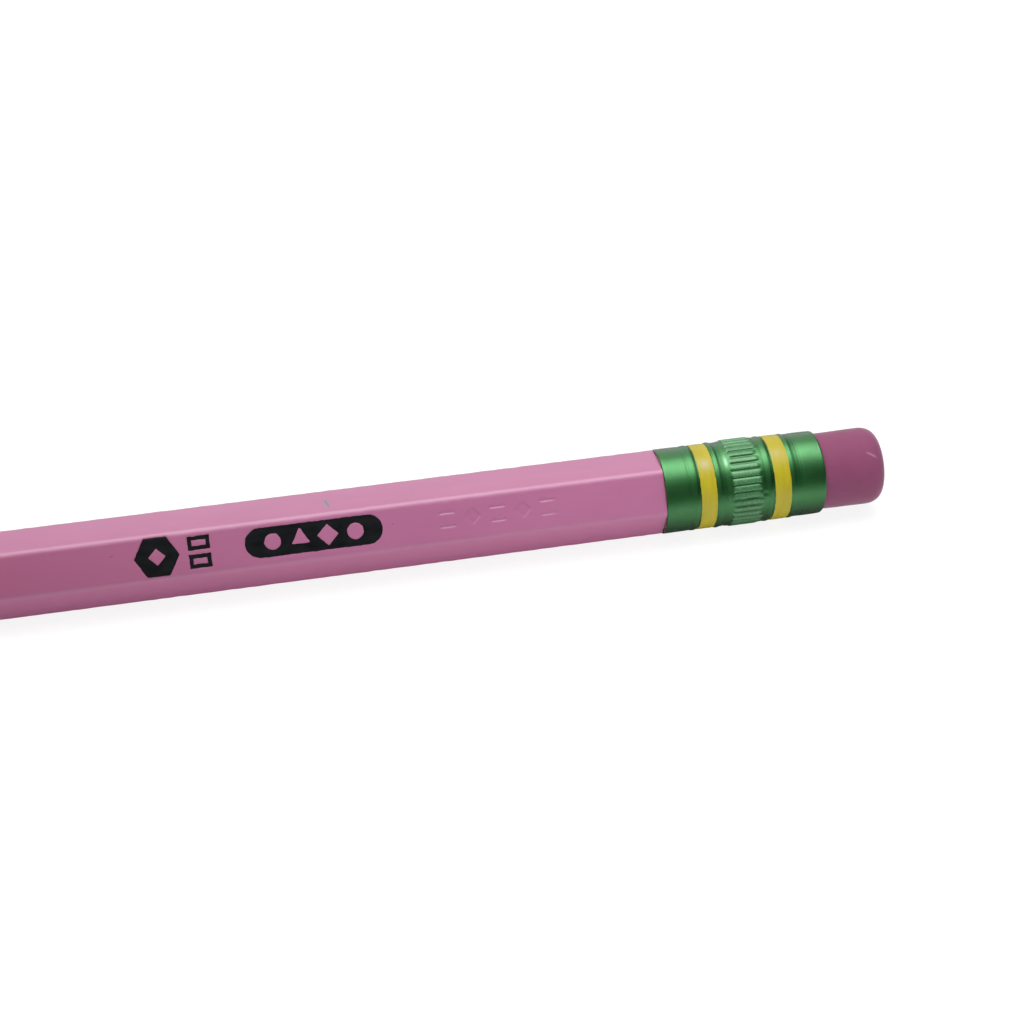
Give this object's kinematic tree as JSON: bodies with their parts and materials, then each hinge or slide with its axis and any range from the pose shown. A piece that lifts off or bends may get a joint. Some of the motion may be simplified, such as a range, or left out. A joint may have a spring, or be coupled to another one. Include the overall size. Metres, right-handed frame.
{
  "type": "graphite pencil",
  "caption": "Sharpened hexagonal pencil with a pink lacquered wooden barrel, a graphite core, a green fluted metal ferrule with yellow bands and a pink rubber eraser.",
  "frame": {"origin": "centre of the bounding box, on the pencil's axis at mid-length", "axes": "+X along the pencil from the point to the eraser, +Z out of the upper flat of the hexagonal barrel; the printed flat faces -Y and up"},
  "size_m": [0.1906, 0.008, 0.008],
  "materials": {
    "graphite": "dark grey graphite and clay, with a dull metallic sheen",
    "wood": "bare cedar, straight fine grain, cut smooth by the sharpener",
    "glue": "thin dried wood glue",
    "pink_lacquer": "glossy pink lacquer in several thin coats",
    "green_ferrule": "thin rolled aluminium with a clear green colour coat",
    "yellow_enamel": "glossy yellow paint rolled into two grooves",
    "eraser_rubber": "matte mauve-pink rubber with softly worn edges",
    "black_foil": "black hot-stamped foil"
  },
  "bodies": {
    "root": {"graphite_core": "graphite", "slat_upper": "wood", "slat_lower": "wood", "glue_film": "glue", "lacquer_coat": "pink_lacquer", "ferrule": "green_ferrule", "enamel_band_front": "yellow_enamel", "enamel_band_rear": "yellow_enamel", "eraser_plug": "eraser_rubber", "foil_badge": "black_foil", "foil_bar": "black_foil", "foil_tick_upper": "black_foil", "foil_tick_lower": "black_foil"}
  },
  "joints": []
}
